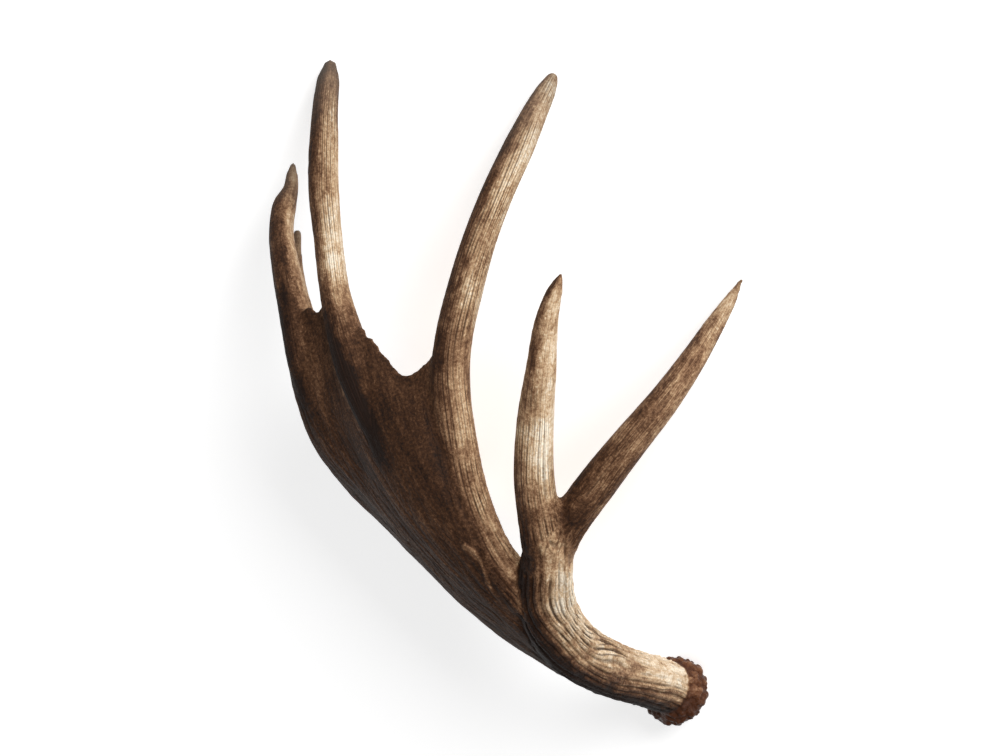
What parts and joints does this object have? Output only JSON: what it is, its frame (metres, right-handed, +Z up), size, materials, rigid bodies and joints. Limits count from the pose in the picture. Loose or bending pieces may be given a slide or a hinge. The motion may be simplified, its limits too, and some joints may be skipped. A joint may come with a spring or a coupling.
{
  "type": "moose antler",
  "caption": "Right moose antler cut under its burr, lying hollow side down: a short beam forking into brow tines and a cupped palm with long tines in front and short points behind.",
  "frame": {"origin": "on the floor, under the middle of the bounding box of the antler as it lies", "axes": "+Z up from the floor; +X from the burr end towards the tips of the palm's tines, along the longest extent; -Y towards the brow tines' side"},
  "size_m": [0.579, 0.46, 0.2161],
  "materials": {
    "ridged_bone": "dry ridged antler bone, tan on the ridges and dark brown in the grooves",
    "palm_bone": "antler bone stained dark brown and finely streaked outside, light tan inside the hollow"
  },
  "bodies": {
    "root": {"beam": "ridged_bone", "brow_tine_outer": "ridged_bone", "brow_tine_inner": "ridged_bone", "palm": "palm_bone", "palm_tine_front": "ridged_bone", "palm_tine_middle": "ridged_bone", "palm_tine_rear": "ridged_bone"}
  },
  "joints": []
}
